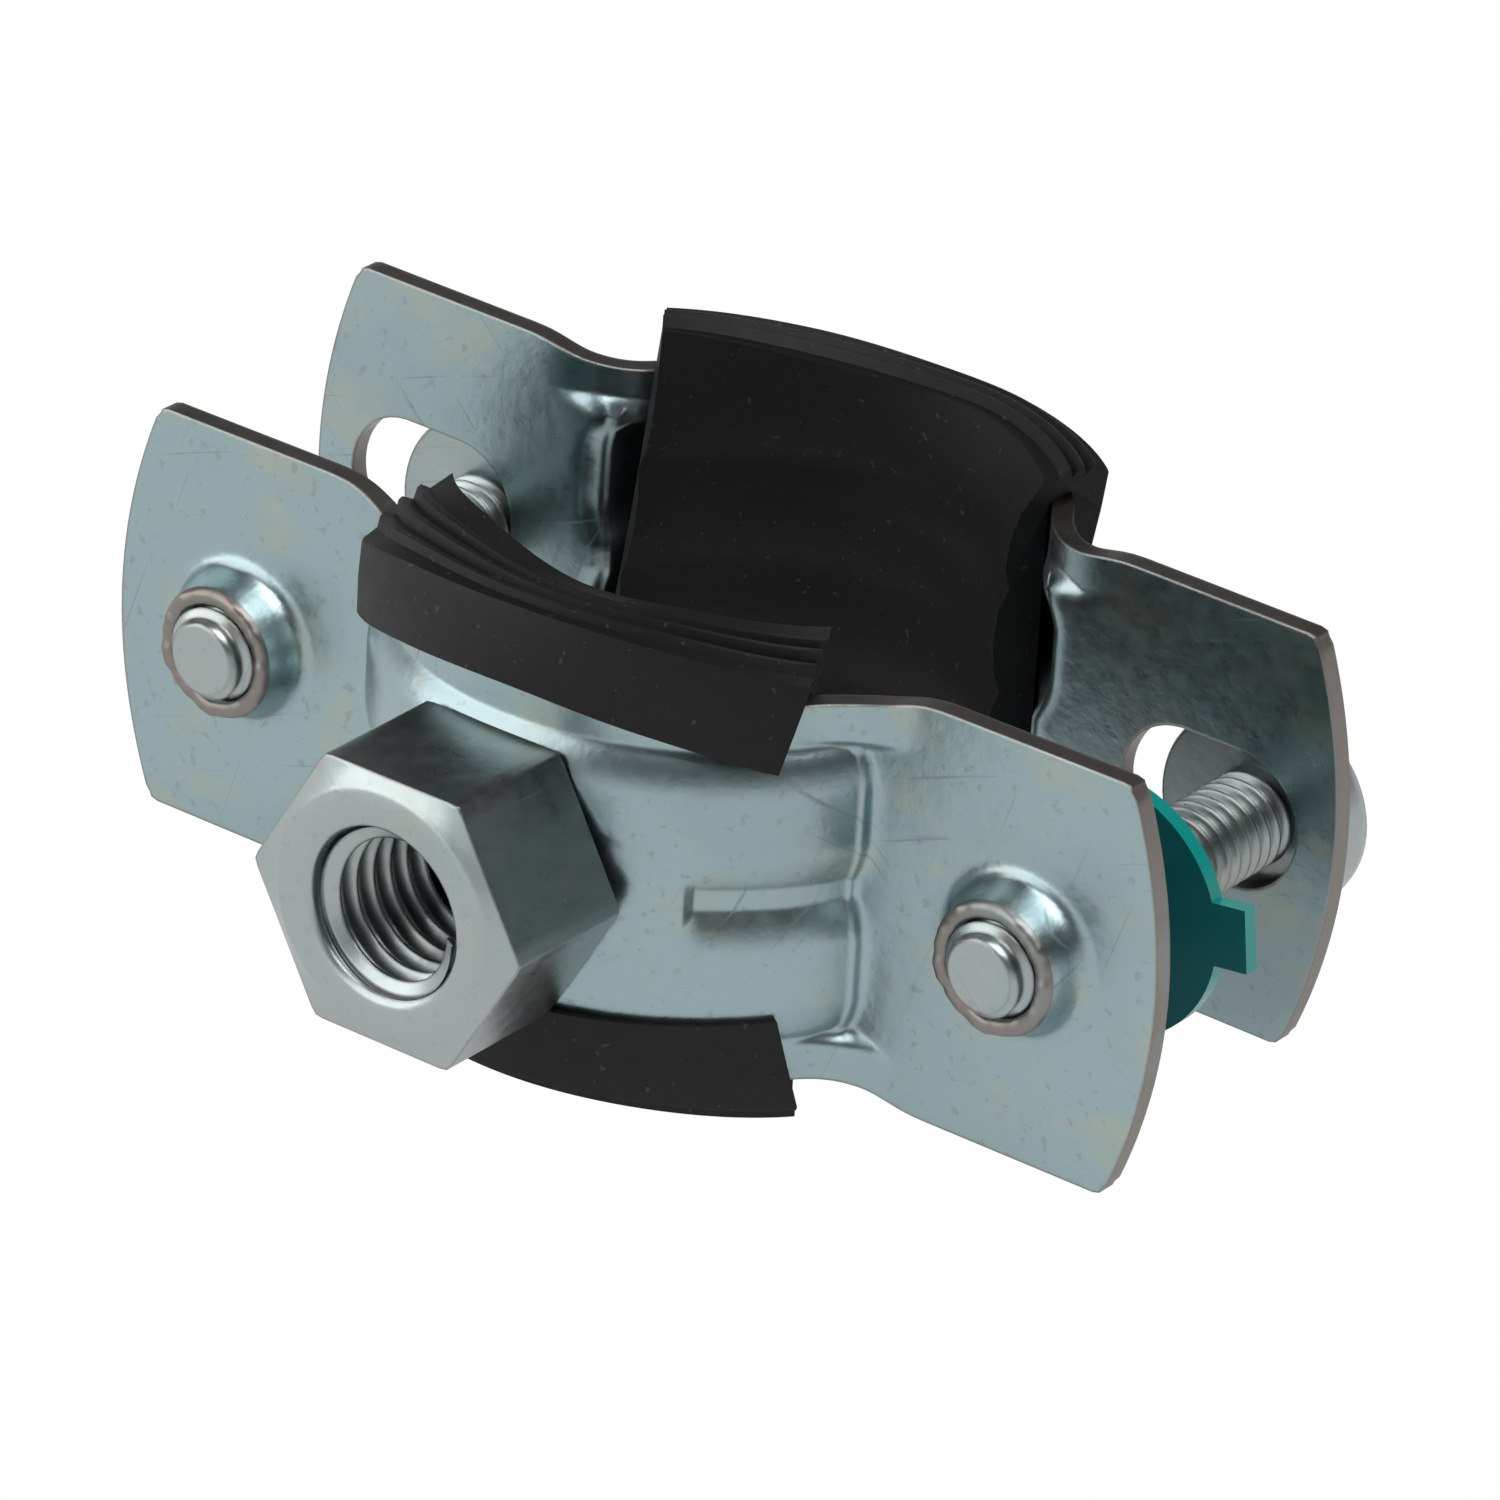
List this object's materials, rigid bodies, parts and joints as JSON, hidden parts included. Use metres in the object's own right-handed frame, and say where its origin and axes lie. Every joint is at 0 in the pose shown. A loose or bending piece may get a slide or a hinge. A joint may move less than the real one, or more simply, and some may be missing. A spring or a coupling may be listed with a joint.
{
  "type": "rubber lined pipe clamp",
  "caption": "Pipe clamp of half bands with rubber linings, drawn together by screws at the ears, with a welded connection nut for a threaded rod.",
  "frame": {"origin": "on the axis of the pipe where the front half seats it, at mid height of the front band", "axes": "+Z along the pipe, X from ear to ear, +Y from the front half, which carries the connection nut, to the rear half"},
  "size_m": [0.0793, 0.0563, 0.032],
  "materials": {
    "zinc_plated_sheet": "bright zinc plate, lightly scratched",
    "zinc_plated_nut": "bright zinc plate",
    "zinc_plated_screw": "bright zinc plate, polished",
    "black_rubber": "matte, slightly dusty",
    "teal_plastic": "translucent, semi-gloss"
  },
  "bodies": {
    "front_half": {"front_band": "zinc_plated_sheet", "connection_nut": "zinc_plated_nut", "front_lining": "black_rubber"},
    "rear_half": {"rear_band": "zinc_plated_sheet", "rear_lining": "black_rubber"},
    "left_screw": {"left_screw": "zinc_plated_screw"},
    "right_screw": {"right_screw": "zinc_plated_screw"},
    "left_washer": {"left_retaining_washer": "teal_plastic"},
    "right_washer": {"right_retaining_washer": "teal_plastic"}
  },
  "joints": [
    {"name": "closing", "type": "slide", "parent": "front_half", "child": "rear_half", "axis": [0, -1, 0], "range_m": [-0.004, 0.0094]},
    {"name": "left_screw_turn", "type": "hinge", "parent": "rear_half", "child": "left_screw", "pos_m": [-0.0285, 0, 0], "axis": [0, -1, 0], "range_deg": [-1441, 3385]},
    {"name": "right_screw_turn", "type": "hinge", "parent": "rear_half", "child": "right_screw", "pos_m": [0.0285, 0, 0], "axis": [0, -1, 0], "range_deg": [-1441, 3385]},
    {"name": "left_washer_slide", "type": "slide", "parent": "front_half", "child": "left_washer", "axis": [0, -1, 0], "range_m": [-0.0029, 0.0063]},
    {"name": "right_washer_slide", "type": "slide", "parent": "front_half", "child": "right_washer", "axis": [0, -1, 0], "range_m": [-0.0029, 0.0063]}
  ],
  "couplings": [
    {"joint": "left_screw_turn", "follows": "closing", "rad_per_m": 6283.2},
    {"joint": "right_screw_turn", "follows": "closing", "rad_per_m": 6283.2}
  ]
}
